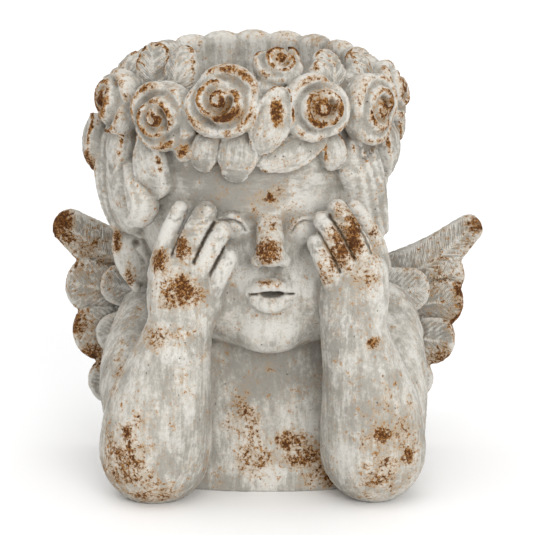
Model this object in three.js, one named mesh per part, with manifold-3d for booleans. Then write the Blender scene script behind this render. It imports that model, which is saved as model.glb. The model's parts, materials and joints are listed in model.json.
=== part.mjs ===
// Cupid head planter, cast in one piece: a winged child's head with its hands over its eyes, elbows on the
// ground, a wreath of roses round the brow and an open bowl inside the head.
// Millimetres. +Z is up, the face looks along -Y and the viewer's right is +X. The floor is z = 0.
import * as THREE from "three";
import { mergeVertices } from "three/addons/utils/BufferGeometryUtils.js";
import Module from "manifold-3d";

// Driving dimensions
const figureHeight = 262; // floor to the tip of the highest petal
const bowlWall = 13; // cast wall between the bowl and the plain surface of the brow
const bowlDepth = 190; // from the brim down to the bowl's floor
const bowlFloorRadius = 36;
const rimLobes = 21; // petals standing side by side round the mouth
const lobeRise = 0.5; // how far a petal's top swells, as a share of its half width

// The figure is carved in shares of its height: one unit is a millimetre on the piece as measured
const unit = figureHeight / 262;
const brim = 250 * unit; // where the bowl's depth is measured from

// Solids
const wasm = await Module();
wasm.setup();

function solidFrom(geometry) {
  const bare = geometry.clone();
  bare.deleteAttribute("normal");
  bare.deleteAttribute("uv");
  const merged = mergeVertices(bare, 1e-3);
  return new wasm.Manifold(
    new wasm.Mesh({
      numProp: 3,
      vertProperties: merged.attributes.position.array,
      triVerts: new Uint32Array(merged.index.array),
    }),
  );
}

// Draws short edges together, such as the slivers where two forms cross. An edge goes only where its ends share
// exactly two neighbours, so the skin stays closed, and where no face round it would turn over. An end on the
// ground or on the bowl's floor stays on that level.
function tidied(solid, shortest) {
  const { vertProperties, triVerts } = solid.getMesh();
  const at = Array.from({ length: vertProperties.length / 3 }, (_, i) =>
    new THREE.Vector3().fromArray(vertProperties, 3 * i),
  );
  const faces = Array.from({ length: triVerts.length / 3 }, (_, i) => [...triVerts.subarray(3 * i, 3 * i + 3)]);
  const around = at.map(() => new Set());
  faces.forEach((face, i) => face.forEach((v) => around[v].add(i)));
  const normalOf = (corners) =>
    new THREE.Vector3().crossVectors(corners[1].clone().sub(corners[0]), corners[2].clone().sub(corners[0]));
  const neighbours = (v) => new Set([...around[v]].flatMap((i) => faces[i]).filter((w) => w !== v));
  const turnsOver = (v, away, target) =>
    [...around[v]].some((i) => {
      if (faces[i].includes(away)) return false;
      const before = normalOf(faces[i].map((w) => at[w]));
      const after = normalOf(faces[i].map((w) => (w === v ? target : at[w])));
      return before.dot(after) < 0.3 * before.length() * after.length();
    });
  const level = (v) => [0, brim - bowlDepth].some((z) => Math.abs(at[v].z - z) < 1e-3);
  const collapse = (a, b) => {
    const shared = [...neighbours(a)].filter((w) => neighbours(b).has(w));
    const target = at[a].clone().lerp(at[b], level(a) === level(b) ? 0.5 : Number(level(b)));
    if (shared.length !== 2 || turnsOver(a, b, target) || turnsOver(b, a, target)) return;
    at[a] = target;
    for (const i of [...around[b]]) {
      if (faces[i].includes(a)) {
        faces[i].forEach((v) => around[v].delete(i));
        faces[i] = null;
      } else {
        faces[i] = faces[i].map((v) => (v === b ? a : v));
        around[a].add(i);
      }
    }
    around[b].clear();
  };
  for (const limit of [0.25, 0.5, 0.75, 1].map((share) => share * shortest)) {
    for (let v = 0; v < at.length; v++) {
      for (const w of neighbours(v)) {
        if (around[v].size && around[w].size && at[v].distanceTo(at[w]) < limit) collapse(v, w);
      }
    }
  }
  const kept = new THREE.BufferGeometry();
  kept.setAttribute("position", new THREE.Float32BufferAttribute(at.flatMap((p) => [p.x, p.y, p.z]), 3));
  kept.setIndex(faces.filter(Boolean).flat());
  return kept;
}

const joined = (solids) => solids.reduce((whole, next) => whole.add(next));
const point = (p) => new THREE.Vector3(...p).multiplyScalar(unit);

// An ellipsoid at a place, turned by Euler angles in degrees
function ball(at, radii, turn = [0, 0, 0], columns = 12, rows = 8) {
  const geometry = new THREE.SphereGeometry(1, columns, rows);
  geometry.scale(...radii.map((r) => r * unit));
  const [x, y, z] = turn.map(THREE.MathUtils.degToRad);
  geometry.applyMatrix4(new THREE.Matrix4().makeRotationFromEuler(new THREE.Euler(x, y, z)));
  const { x: cx, y: cy, z: cz } = point(at);
  geometry.translate(cx, cy, cz);
  return solidFrom(geometry);
}

// A round-ended limb along stations [x, y, z, half width, half thickness]: a sphere drawn out along a curve.
// The thickness lies towards `facing`, the width across it, and a square above 2 gives flatter sides. The ends
// reach out by the smaller half, or by `tip` times the half width.
function limb(stations, { sides = 10, steps = 3, facing = [0, -1, 0], square = 2, capRows = 2, tip } = {}) {
  const path = new THREE.CatmullRomCurve3(stations.map((s) => point(s)));
  const spans = (stations.length - 1) * steps;
  const rows = spans + 2 * capRows;
  const geometry = new THREE.SphereGeometry(1, sides, rows);
  const place = geometry.attributes.position;
  const front = new THREE.Vector3(...facing).normalize();
  for (let i = 0; i < place.count; i++) {
    const row = Math.floor(i / (sides + 1));
    const turn = (2 * Math.PI * (i % (sides + 1))) / sides;
    const along = THREE.MathUtils.clamp((row - capRows) / spans, 0, 1);
    const station = Math.min(Math.floor(along * (stations.length - 1)), stations.length - 2);
    const share = along * (stations.length - 1) - station;
    const size = (n) => THREE.MathUtils.lerp(stations[station][n], stations[station + 1][n], share) * unit;
    const before = Math.max(0, capRows - row) / capRows;
    const after = Math.max(0, row - capRows - spans) / capRows;
    const cap = (Math.PI / 2) * Math.max(before, after);
    const tangent = path.getTangent(along);
    const across = new THREE.Vector3().crossVectors(tangent, front).normalize();
    const outward = new THREE.Vector3().crossVectors(across, tangent).normalize();
    const soft = (c) => Math.sign(c) * Math.abs(c) ** (2 / square);
    const at = path.getPoint(along);
    at.addScaledVector(across, size(3) * Math.cos(cap) * soft(Math.cos(turn)));
    at.addScaledVector(outward, size(4) * Math.cos(cap) * soft(Math.sin(turn)));
    const reach = (tip ? tip * size(3) : Math.min(size(3), size(4))) * Math.sin(cap);
    at.addScaledVector(tangent, before > 0 ? -reach : after > 0 ? reach : 0);
    place.setXYZ(i, at.x, at.y, at.z);
  }
  const solid = solidFrom(geometry);
  return solid.volume() > 0 ? solid : solidFrom(flipped(geometry));
}

function flipped(geometry) {
  const index = geometry.index.array;
  for (let i = 0; i < index.length; i += 3) [index[i + 1], index[i + 2]] = [index[i + 2], index[i + 1]];
  return geometry;
}

// Modelled lumps that melt into one another, and the sphere that is drawn in onto their skin
const distanceTo = ([x, y, z], { at, size }) => {
  const d = [x - at[0], y - at[1], z - at[2]];
  const near = Math.hypot(...d.map((v, i) => v / size[i]));
  const slope = Math.hypot(...d.map((v, i) => v / size[i] ** 2));
  return slope < 1e-9 ? -Math.min(...size) : (near * (near - 1)) / slope;
};

function melted(p, lumps) {
  return lumps.reduce((whole, lump) => {
    const one = distanceTo(p, lump);
    const k = lump.melt;
    const near = Math.max(k - Math.abs(lump.dent ? whole + one : whole - one), 0) / k;
    const round = (near * near * k) / 4;
    return lump.dent ? Math.max(whole, -one) + round : Math.min(whole, one) - round;
  }, 1e3);
}

function wrapped(lumps, centre, reach, columns, rows) {
  const geometry = new THREE.SphereGeometry(1, columns, rows);
  geometry.rotateX(Math.PI / 2);
  const place = geometry.attributes.position;
  for (let i = 0; i < place.count; i++) {
    const ray = new THREE.Vector3().fromBufferAttribute(place, i).normalize();
    let far = reach;
    for (let n = 0; n < 60; n++) {
      const p = [centre[0] + ray.x * far, centre[1] + ray.y * far, centre[2] + ray.z * far];
      far -= melted(p, lumps) * 0.8;
    }
    ray.multiplyScalar(far).add(new THREE.Vector3(...centre)).multiplyScalar(unit);
    place.setXYZ(i, ray.x, ray.y, ray.z);
  }
  return solidFrom(geometry);
}

// Head: skull, brow, cheeks, chin, jaw and eye sockets in one skin, with the features laid on
const headAxis = [-9, 0];
const faceMiddle = 1;

function head() {
  const lumps = [
    { at: [-9, 2, 178], size: [75, 79, 84], melt: 1 },
    { at: [0, -22, 122], size: [56, 50, 46], melt: 26 },
    { at: [-29, -51, 120], size: [27, 26, 26], melt: 16 },
    { at: [31, -51, 120], size: [27, 26, 26], melt: 16 },
    { at: [faceMiddle, -62, 97], size: [20, 15, 16], melt: 16 },
    { at: [faceMiddle, -62.5, 121], size: [25, 18.5, 18], melt: 12 },
    { at: [0, -45, 100], size: [45, 25, 18], melt: 12 },
    { at: [-18, -90, 157], size: [13, 12, 7], melt: 12, dent: true },
    { at: [18, -90, 157], size: [13, 12, 7], melt: 12, dent: true },
  ];
  return wrapped(lumps, [-6, -6, 150], 200, 36, 24);
}

function face() {
  const nose = limb(
    [
      [faceMiddle, -68, 175, 8, 4],
      [faceMiddle, -76.5, 159, 8, 6.5],
      [faceMiddle, -87, 145.5, 8.6, 7.4],
    ],
    { sides: 8, steps: 1 },
  );
  const wings = [-1, 1].map((s) => ball([faceMiddle + s * 7.4, -82.5, 141], [4.8, 6.2, 4.4], [0, 0, 0], 6, 4));
  const eyes = [-1, 1].map((s) => ball([s * 20, -66, 157], [10.5, 10, 8.5], [0, 0, 0], 8, 6));
  const lid = (s) =>
    limb(
      [
        [s * 9, -72, 157, 1.5, 2],
        [s * 16, -76.5, 163.5, 1.7, 2.2],
        [s * 25, -74.5, 163.5, 1.7, 2.2],
        [s * 33, -68, 157, 1.5, 2],
      ],
      { sides: 5, steps: 1, capRows: 1 },
    );
  const upperLip = limb(
    [
      [faceMiddle - 10, -75, 121, 2, 3],
      [faceMiddle - 2, -81, 125.4, 4, 4],
      [faceMiddle + 1, -81.4, 125, 3.6, 4],
      [faceMiddle + 4, -81, 125.4, 4, 4],
      [faceMiddle + 13, -75, 121, 2, 3],
    ],
    { sides: 6, steps: 1, capRows: 1 },
  );
  const lowerLip = limb(
    [
      [faceMiddle - 9, -75, 118.6, 2, 3],
      [faceMiddle + 1.5, -80.4, 114.8, 4.6, 4.4],
      [faceMiddle + 12, -75, 118.6, 2, 3],
    ],
    { sides: 6, steps: 2, capRows: 1 },
  );
  return joined([nose, ...wings, ...eyes, lid(-1), lid(1), upperLip, lowerLip]);
}

function ear(side, forward) {
  const x = side < 0 ? -84 : 61;
  const rim = limb(
    [
      [x - side * 2, forward - 6, 146, 3.5, 5],
      [x + side * 5, forward - 1, 144, 3.6, 6],
      [x + side * 4, forward + 1, 132, 3.6, 6],
      [x, forward, 121, 3.4, 5],
      [x - side * 6, forward - 3, 111, 4, 5],
    ],
    { sides: 6, steps: 1 },
  );
  const shell = ball([x - side * 3.5, forward + 2, 129.5], [11, 7.5, 19], [0, side * 14, 0], 8, 6);
  return rim.add(shell);
}

// Arms: the elbow rests on the ground, the forearm rises to the hand and the upper arm runs back
function arm(side) {
  const left = side < 0;
  const forearm = limb(
    left
      ? [
          [-65, -73, 28, 33, 34],
          [-62, -77, 52, 31, 32],
          [-55, -81, 82, 23, 24],
          [-50, -83, 101, 19, 17],
        ]
      : [
          [61, -73, 28, 31, 34],
          [59, -77, 52, 29, 31],
          [53, -81, 82, 22, 23],
          [48, -83, 101, 19, 17],
        ],
    { sides: 14, steps: 1, capRows: 3 },
  );
  const upperArm = limb(
    [
      [side * 63, -60, 31, 29, 30],
      [side * (left ? 74 : 69), -32, 60, 26, 30],
      [side * 66, 0, 86, 26, 26],
    ],
    { sides: 12, steps: 1, facing: [0, -0.6, 1], capRows: 2 },
  );
  const web = limb(
    [
      [side * 52, -50, 48, 20, 26],
      [side * 50, -46, 92, 16, 24],
    ],
    { sides: 8, steps: 1 },
  );
  return joined([forearm, upperArm, web]);
}

function hand(side) {
  const palm = limb(
    side < 0
      ? [
          [-50, -82, 100, 18, 14],
          [-47, -80, 118, 22, 15],
          [-46, -79, 136, 20, 13],
        ]
      : [
          [48, -82, 100, 18, 14],
          [48, -80, 118, 20, 15],
          [50, -78, 136, 19, 13],
        ],
    { sides: 10, steps: 1, square: 2.4 },
  );
  const fingers =
    side < 0
      ? [
          [[-62, -77, 136, 5.6], [-56, -80, 154, 5.2], [-49, -76, 169, 4.8]],
          [[-50, -83, 136, 7.4], [-43, -87, 154, 7.2], [-35, -82, 168, 6.6]],
          [[-39, -87, 132, 6.6], [-33, -90, 145, 6.4], [-26, -84, 158, 5.8]],
          [[-30, -86, 125, 6], [-26, -90, 135, 5.8], [-22, -87, 143, 5.2]],
        ]
      : [
          [[38, -85, 126, 6.4], [33, -89, 139, 6.2], [27, -85, 151, 5.6]],
          [[47, -85, 132, 6], [39, -89, 149, 5.8], [30, -83, 164, 5.2]],
          [[56, -81, 135, 6.6], [48, -86, 154, 6.2], [39, -80, 170, 5.6]],
          [[64, -71, 137, 5.8], [58, -75, 154, 5.2], [49, -71, 169, 4.8]],
        ];
  const fingerSolids = fingers.map((stations) =>
    limb(stations.map(([x, y, z, r]) => [x, y, z, r, r]), { sides: 8, steps: 1 }),
  );
  const thumb = limb(
    [
      [side * 57, -70, 112, 8, 8],
      [side * 62, -60, 124, 7.5, 7.5],
      [side * 63, -50, 135, 6, 6],
    ],
    { sides: 8, steps: 1 },
  );
  return joined([palm, thumb, ...fingerSolids]);
}

// Body: chest and back down to the ground
function body() {
  return limb(
    [
      [0, -1, -20, 80, 68],
      [0, 1, 25, 80, 63],
      [-1, 4, 60, 76, 58],
      [-3, 4, 86, 62, 54],
      [-5, 4, 108, 50, 50],
    ],
    { sides: 20, steps: 1, square: 2.6, capRows: 1 },
  );
}

// Wings: broad round-ended feathers fanned from the shoulder blade, so that the outline is a row of shallow
// lobes under a long upper feather, and coverts laid over their roots
function wing(side) {
  const left = side < 0;
  const feathers = left
    ? [
        [[-40, 58, 84, 20, 8], [-74, 52, 104, 19, 8], [-102, 48, 121, 16, 7.5], [-123, 45, 137, 11, 6.5]],
        [[-40, 56, 84, 18, 8], [-78, 50, 94, 19, 8], [-110, 45, 100, 18, 7]],
        [[-40, 55, 76, 18, 8], [-76, 50, 76, 19, 8], [-105, 44, 71, 19, 7]],
        [[-40, 54, 64, 17, 8], [-72, 48, 52, 18, 8], [-99, 42, 39, 15, 6.5]],
        [[-40, 52, 54, 16, 8], [-68, 46, 38, 15, 8], [-92, 40, 24, 12, 6.5]],
        [[-62, 37, 96, 15, 6], [-92, 35, 102, 13, 4.5]],
        [[-62, 36, 80, 15, 6], [-95, 34, 71, 13, 4.5]],
      ]
    : [
        [[38, 58, 82, 20, 8], [72, 52, 99, 17, 8], [100, 48, 114, 14.5, 7.5], [125, 45, 136, 8.5, 6.5]],
        [[38, 57, 84, 18, 8], [78, 51, 95, 18, 8], [110, 46, 107, 14, 6.5]],
        [[38, 56, 80, 18, 8], [76, 50, 86, 19, 8], [107, 44, 90, 17, 6.5]],
        [[38, 55, 72, 18, 8], [73, 49, 70, 18, 8], [103, 42, 66, 16, 6.5]],
        [[38, 54, 62, 17, 8], [68, 48, 52, 16, 8], [92, 41, 40, 13, 6.5]],
        [[38, 52, 52, 15, 8], [64, 46, 38, 14, 8], [87, 40, 26, 11, 6.5]],
        [[58, 37, 98, 15, 6], [88, 35, 99, 14, 5]],
        [[58, 35, 77, 15, 6], [84, 34, 71, 14, 5]],
      ];
  return joined(feathers.map((f) => limb(f, { sides: 8, steps: 1, square: 2.4, capRows: 3, tip: 0.9 })));
}

// Wreath: everything sits at an angle round the head's axis, seen from above, 0 at the brow
const bandRadius = 77;

function onBand(geometry, { angle, height, out = 0, spin = 0, tilt = 0 }) {
  const turn = THREE.MathUtils.degToRad(angle);
  const outward = new THREE.Vector3(Math.sin(turn), -Math.cos(turn), 0);
  const matrix = new THREE.Matrix4().makeTranslation(
    headAxis[0] * unit + outward.x * (bandRadius + out) * unit,
    headAxis[1] * unit + outward.y * (bandRadius + out) * unit,
    height * unit,
  );
  matrix.multiply(new THREE.Matrix4().makeRotationZ(turn));
  matrix.multiply(new THREE.Matrix4().makeRotationX(Math.PI / 2 - THREE.MathUtils.degToRad(tilt)));
  matrix.multiply(new THREE.Matrix4().makeRotationZ(THREE.MathUtils.degToRad(spin)));
  return solidFrom(geometry.applyMatrix4(matrix));
}

// A full-blown rose: rings of petals round a bud, as shares of its radius, every ring waved where petals meet
const rosePetals = [
  [0, -0.5, 0],
  [0.95, -0.2, 0.03],
  [0.94, 0.38, 0.07],
  [0.7, 0.24, 0.05],
  [0.57, 0.66, 0.07],
  [0.38, 0.44, 0.05],
  [0.26, 0.82, 0.03],
  [0, 0.7, 0],
];

function rose(radius, sides, at) {
  const profile = rosePetals.map(([r, h]) => new THREE.Vector2(r * radius * unit, h * radius * unit));
  const geometry = new THREE.LatheGeometry(profile, sides);
  const place = geometry.attributes.position;
  for (let i = 0; i < place.count; i++) {
    const ring = i % profile.length;
    const turn = Math.atan2(place.getX(i), place.getZ(i));
    const wave = 1 + rosePetals[ring][2] * Math.cos(3 * turn + ring * 1.9);
    place.setXYZ(i, place.getX(i) * wave, place.getY(i), place.getZ(i) * wave);
  }
  geometry.rotateX(Math.PI / 2);
  return onBand(geometry, at);
}

// A leaf: a pointed, cupped shape with its midrib sunk, its tip along the local +Y
function leaf(length, width, at, thickness = 8) {
  const geometry = new THREE.SphereGeometry(1, 8, 6);
  const place = geometry.attributes.position;
  for (let i = 0; i < place.count; i++) {
    const [x, y, z] = [place.getX(i), place.getY(i), place.getZ(i)];
    const pointed = 1 - 0.35 * Math.max(0, y);
    const crease = z > 0 ? 1 - 0.35 * Math.exp(-((x / 0.25) ** 2)) : 1;
    place.setXYZ(i, (x * pointed * width * unit) / 2, (y * length * unit) / 2, z * crease * thickness * unit);
  }
  return onBand(geometry, at);
}

function wreath() {
  const roses = [
    [22, { angle: -10, height: 230, out: 7, tilt: 10, spin: 20 }],
    [21, { angle: -35, height: 221, out: 6, spin: 70 }],
    [21, { angle: -67, height: 223, out: 4, tilt: 8, spin: 10 }],
    [21.5, { angle: 24, height: 226, out: 6, tilt: 4, spin: 50 }],
    [20.5, { angle: 51, height: 223, out: 6, tilt: 4, spin: 85 }],
    [18, { angle: 80, height: 228, out: 1, tilt: 14 }],
    [15, { angle: 13, height: 247.5, out: -14, tilt: 40 }],
  ];
  const backRoses = [-98, -127, -157, 173, 142, 110];
  const front = roses.map(([radius, at]) => rose(radius, 12, at));
  const back = backRoses.map((angle, i) =>
    rose(19 - (i % 2), 9, { angle, height: 221 - 4 * (i % 2), out: 1, tilt: 6, spin: 40 * i }),
  );
  const bud = leaf(32, 23, { angle: 7, height: 220, out: 6, spin: 160 }, 13);
  const leaves = [
    [24, 15, { angle: -18, height: 203, out: 3, spin: 165 }],
    [29, 21, { angle: -5, height: 201, out: 3, spin: 168 }],
    [36, 20, { angle: 15, height: 201, out: 3, spin: 112 }],
    [20, 16, { angle: 34, height: 201, out: 2, spin: 190 }],
    [30, 25, { angle: 50, height: 197, out: 2, spin: 175 }],
    [32, 24, { angle: 74, height: 196, out: 4, spin: 200 }],
    [28, 20, { angle: 93, height: 207, out: 6, spin: 235 }],
    [34, 24, { angle: -44, height: 191, out: 4, spin: 200 }],
    [30, 22, { angle: -66, height: 197, out: 6, spin: 160 }],
    [32, 24, { angle: -88, height: 196, out: 16, spin: 150 }],
    [25, 26, { angle: 37, height: 240.5, out: -8, tilt: 10, spin: -10 }],
    [28, 20, { angle: -92, height: 234, out: -5, tilt: 14, spin: 20 }],
    [28, 22, { angle: -34, height: 243, out: -8, tilt: 20, spin: 10 }],
    [26, 22, { angle: 64, height: 239, out: -9, tilt: 14, spin: 0 }],
    [26, 20, { angle: 97, height: 232, out: -5, tilt: 14, spin: -20 }],
  ];
  const bandLeaves = [-112, -142, -171, 158, 126].map((angle, i) =>
    leaf(32, 24, { angle, height: 204 + 3 * (i % 2), out: 3, spin: 170 + 20 * (i % 2) }),
  );
  const smallBud = ball([-47, -75, 202], [6, 6, 7], [0, 0, 0], 8, 6);
  const standingLeaf = limb(
    [
      [-62, -39, 232, 7, 5],
      [-64.3, -41, 244, 11.5, 6],
      [-64, -40, 253.5, 8.5, 5],
    ],
    { sides: 8, steps: 1, facing: [-0.4, -1, 0], capRows: 2, tip: 0.7 },
  );
  return joined([...front, ...back, bud, smallBud, standingLeaf, ...leaves.map((l) => leaf(...l)), ...bandLeaves]);
}

// Hair: a curl over the left temple, smooth sweeps before the left ear and over the right temple, and staggered
// rows of short wavy locks under the wreath round the sides and back
function hair() {
  const around = (angle, radius, z, half, thick) => {
    const a = THREE.MathUtils.degToRad(angle);
    return [headAxis[0] + Math.sin(a) * radius, headAxis[1] - Math.cos(a) * radius, z, half, thick];
  };
  const lock = (angle, z, radius, length, bend, half, thick) => {
    const a = THREE.MathUtils.degToRad(angle);
    const stations = [
      around(angle - bend, radius - 1, z + length / 2, half * 0.8, thick),
      around(angle + bend, radius, z, half, thick),
      around(angle - bend * 0.6, radius - 2, z - length / 2, half * 0.7, thick),
    ];
    return limb(stations, { sides: 8, steps: 1, facing: [Math.sin(a), -Math.cos(a), 0] });
  };
  const sides = [
    [-70, 186, 80, 28, -4, 13, 9],
    [-97, 178, 84, 34, 4, 14, 9],
    [62, 182, 72, 28, -4, 12, 8],
    [82, 176, 72, 34, 4, 12, 8],
    [99, 180, 74, 34, -4, 12, 8],
  ];
  const rows = [
    [184, 76],
    [160, 74],
    [136, 67],
  ];
  const back = rows.flatMap(([height, radius], row) => {
    const count = 8 - row;
    return Array.from({ length: count }, (_, i) => {
      const angle = 108 + (148 * (i + 0.5)) / count;
      return [angle, height + 4 * (i % 2), radius, 28, i % 2 ? 5 : -5, 14, 9];
    });
  });
  const curl = [
    [-79, -44, 186, 5, 5],
    [-75, -52, 178, 8, 8],
    [-71.5, -57, 170, 9.5, 9],
    [-73, -57, 163, 9, 8.5],
    [-78, -54, 158.5, 5, 5],
  ];
  const leftSweep = [
    [-92, -12, 198, 10, 8],
    [-93, -13, 182, 11, 8],
    [-91, -14, 166, 10, 8],
    [-87, -15, 151, 8, 7],
  ];
  const rightSweep = [
    [50, -56, 198, 14, 9],
    [53, -54, 184, 16, 10],
    [57, -50, 168, 14, 10],
    [62, -46, 152, 9, 8],
  ];
  const masses = [curl, leftSweep, rightSweep].map((stations) =>
    limb(stations, { sides: 8, steps: 1, facing: [0.6 * Math.sign(stations[0][0]), -0.8, 0] }),
  );
  const under = [ball([-80, -20, 178], [15, 24, 34]), ball([50, -50, 178], [14, 14, 24])];
  return joined([...masses, ...under, ...[...sides, ...back].map((l) => lock(...l))]);
}

// Bowl: a tapered round hollow, the band that walls its mouth and the petals that stand round it
const mouthRadius = (bandRadius - 2) * unit - bowlWall;

function band() {
  const profile = [
    [0, 176],
    [bandRadius - 6, 176],
    [bandRadius - 1, 192],
    [bandRadius, 222],
    [bandRadius - 5, 240],
    [0, 240],
  ].map(([r, z]) => new THREE.Vector2(r * unit, z * unit));
  const geometry = new THREE.LatheGeometry(profile, 32);
  geometry.rotateX(Math.PI / 2);
  geometry.translate(headAxis[0] * unit, headAxis[1] * unit, 0);
  return solidFrom(geometry);
}

function bowl() {
  const floor = brim - bowlDepth;
  const profile = [
    [0, floor],
    [bowlFloorRadius - 8, floor],
    [bowlFloorRadius, floor + 8],
    [mouthRadius - 4, brim - 60 * unit],
    [mouthRadius, brim - 10 * unit],
    [mouthRadius + 2, brim + 60 * unit],
    [0, brim + 60 * unit],
  ].map(([r, z]) => new THREE.Vector2(r, z));
  const geometry = new THREE.LatheGeometry(profile, 30);
  geometry.rotateX(Math.PI / 2);
  geometry.translate(headAxis[0] * unit, headAxis[1] * unit, 0);
  return solidFrom(geometry);
}

function rim() {
  const radius = mouthRadius / unit + 5;
  const halfWidth = (Math.PI * radius) / rimLobes + 1.8;
  const lobes = Array.from({ length: rimLobes }, (_, i) => {
    const turn = (2 * Math.PI * (i + 0.5)) / rimLobes;
    const across = [Math.sin(turn), -Math.cos(turn)];
    const top = 241 + 15 * ((1 + across[1]) / 2) ** 1.4 - lobeRise * halfWidth;
    const at = (r, z) => [headAxis[0] + across[0] * r, headAxis[1] + across[1] * r, z, halfWidth, 7.5];
    return limb([at(radius, 205), at(radius, top)], { sides: 6, steps: 1, facing: [...across, 0], tip: lobeRise });
  });
  return joined(lobes);
}

// Casting: the figure is joined, hollowed, given its rim and cut flat where it stands
function cast() {
  const figure = joined([
    body(),
    head(),
    face(),
    ear(-1, -14),
    ear(1, 2),
    arm(-1),
    arm(1),
    hand(-1),
    hand(1),
    wing(-1),
    wing(1),
    hair(),
    band(),
    wreath(),
  ]);
  const ground = solidFrom(new THREE.BoxGeometry(600 * unit, 600 * unit, 200 * unit).translate(0, 0, -100 * unit));
  const hollowed = figure.subtract(bowl()).add(rim()).subtract(ground);
  return hollowed.decompose().reduce((whole, shell) => (shell.volume() > whole.volume() ? shell : whole));
}

const shortestEdge = 3;
const stone = new THREE.MeshStandardMaterial({ color: 0xc6c2ba, roughness: 0.95, metalness: 0 });
const casting = tidied(cast(), shortestEdge * unit);
casting.computeBoundingBox();
const middle = casting.boundingBox.getCenter(new THREE.Vector3());
casting.translate(-middle.x, -middle.y, 0);

const planter = new THREE.Mesh(casting, stone);
planter.name = "cupid_planter";
const group = new THREE.Group();
group.add(planter);

export default group;
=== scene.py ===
# Cupid head planter in cast cement: built up as clay, carved, hollowed and given its worn finish.
# Lengths are in millimetres of the figure's own frame. The viewer's right is +X, the face looks along -Y.
import json
import math

import bpy
import numpy as np
from mathutils import Matrix, Vector
from mathutils.kdtree import KDTree


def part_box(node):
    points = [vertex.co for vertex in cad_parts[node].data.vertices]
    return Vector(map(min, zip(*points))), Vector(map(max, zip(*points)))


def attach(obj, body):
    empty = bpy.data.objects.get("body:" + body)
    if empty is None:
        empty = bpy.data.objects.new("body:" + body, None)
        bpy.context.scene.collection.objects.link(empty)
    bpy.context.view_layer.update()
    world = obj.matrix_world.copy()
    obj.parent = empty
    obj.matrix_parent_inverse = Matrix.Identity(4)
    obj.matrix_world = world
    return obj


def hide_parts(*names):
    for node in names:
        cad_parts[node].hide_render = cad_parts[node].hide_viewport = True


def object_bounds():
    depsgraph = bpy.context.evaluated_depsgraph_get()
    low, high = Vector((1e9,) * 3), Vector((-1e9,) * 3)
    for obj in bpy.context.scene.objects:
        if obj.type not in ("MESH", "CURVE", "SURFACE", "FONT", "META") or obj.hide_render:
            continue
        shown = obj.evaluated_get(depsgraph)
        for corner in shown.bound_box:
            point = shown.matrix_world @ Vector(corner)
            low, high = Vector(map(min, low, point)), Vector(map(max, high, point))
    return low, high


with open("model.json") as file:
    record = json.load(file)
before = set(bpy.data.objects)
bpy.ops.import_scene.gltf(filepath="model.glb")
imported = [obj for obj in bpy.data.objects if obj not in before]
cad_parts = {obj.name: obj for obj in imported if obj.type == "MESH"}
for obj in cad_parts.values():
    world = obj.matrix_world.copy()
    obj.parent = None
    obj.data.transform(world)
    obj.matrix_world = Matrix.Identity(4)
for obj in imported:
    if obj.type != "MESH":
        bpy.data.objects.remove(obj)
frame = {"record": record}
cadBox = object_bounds()
mounts = {m["name"]: m for m in frame["record"]["mounts"]}
bowlAxis = mounts["bowl_floor"]["pos_m"]

figure = {
    "height": 260.3,       # of the CAD model, in the figure's millimetres
    "headAxis": (-9, 0),   # the bowl's axis, seen from above
    "faceMiddle": 1,
    "fineVoxel": 1.1,
    "triangles": 192000,
}
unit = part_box("cupid_planter")[1].z / figure["height"]
shift = Vector((
    bowlAxis[0] - figure["headAxis"][0] * unit,
    bowlAxis[1] - figure["headAxis"][1] * unit,
    0,
))
grain = []   # feathers, leaves and locks that get strands carved along them
hearts = []  # the middle of each rose, where the rust gathers


# Clay tools

def deselect():
    bpy.ops.object.select_all(action="DESELECT")


def pick(pieces):
    deselect()
    for piece in pieces:
        piece.select_set(True)
    bpy.context.view_layer.objects.active = pieces[0]


def readPoints(piece):
    co = np.empty(len(piece.data.vertices) * 3)
    piece.data.vertices.foreach_get("co", co)
    return co.reshape(-1, 3)


def writePoints(piece, co):
    piece.data.vertices.foreach_set("co", np.ascontiguousarray(co, dtype=np.float64).ravel())
    piece.data.update()


def turnOutward(piece):
    co = readPoints(piece)
    piece.data.calc_loop_triangles()
    corners = np.empty(len(piece.data.loop_triangles) * 3, np.int32)
    piece.data.loop_triangles.foreach_get("vertices", corners)
    a, b, c = (co[corners.reshape(-1, 3)[:, i]] for i in range(3))
    if np.einsum("ij,ij->", a, np.cross(b, c)) < 0:
        piece.data.flip_normals()


def ball(at, radii, turn=(0, 0, 0), segments=28, rings=18, carrier=None):
    deselect()
    bpy.ops.mesh.primitive_uv_sphere_add(segments=segments, ring_count=rings, radius=1)
    piece = bpy.context.object
    x, y, z = (math.radians(angle) for angle in turn)
    lean = Matrix.Rotation(z, 4, "Z") @ Matrix.Rotation(y, 4, "Y") @ Matrix.Rotation(x, 4, "X")
    place = Matrix.Translation(Vector(at) * unit) @ lean @ Matrix.Diagonal((*(r * unit for r in radii), 1))
    piece.data.transform((carrier or Matrix()) @ place)
    return piece


def splineThrough(stations, along):
    # Catmull-Rom through the stations, read at shares of the way from 0 to 1
    stations = np.asarray(stations, float)
    padded = np.vstack([2 * stations[0] - stations[1], stations, 2 * stations[-1] - stations[-2]])
    reach = np.clip(along, 0, 1) * (len(stations) - 1)
    i = np.minimum(reach.astype(int), len(stations) - 2)
    t = (reach - i)[:, None]
    p0, p1, p2, p3 = (padded[i + n] for n in range(4))
    slope = (p2 - p0) * t
    square = (2 * p0 - 5 * p1 + 4 * p2 - p3) * t ** 2
    cube = (3 * p1 - p0 - 3 * p2 + p3) * t ** 3
    return 0.5 * (2 * p1 + slope + square + cube)


def placed(offsets, middle, side=1):
    # Stations given from a middle, mirrored where side is -1
    x, y, z = middle
    return [(x + side * s[0], y + s[1], z + s[2], *s[3:]) for s in offsets]


def unitRows(v):
    return v / np.maximum(np.linalg.norm(v, axis=-1, keepdims=True), 1e-12)


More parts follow.
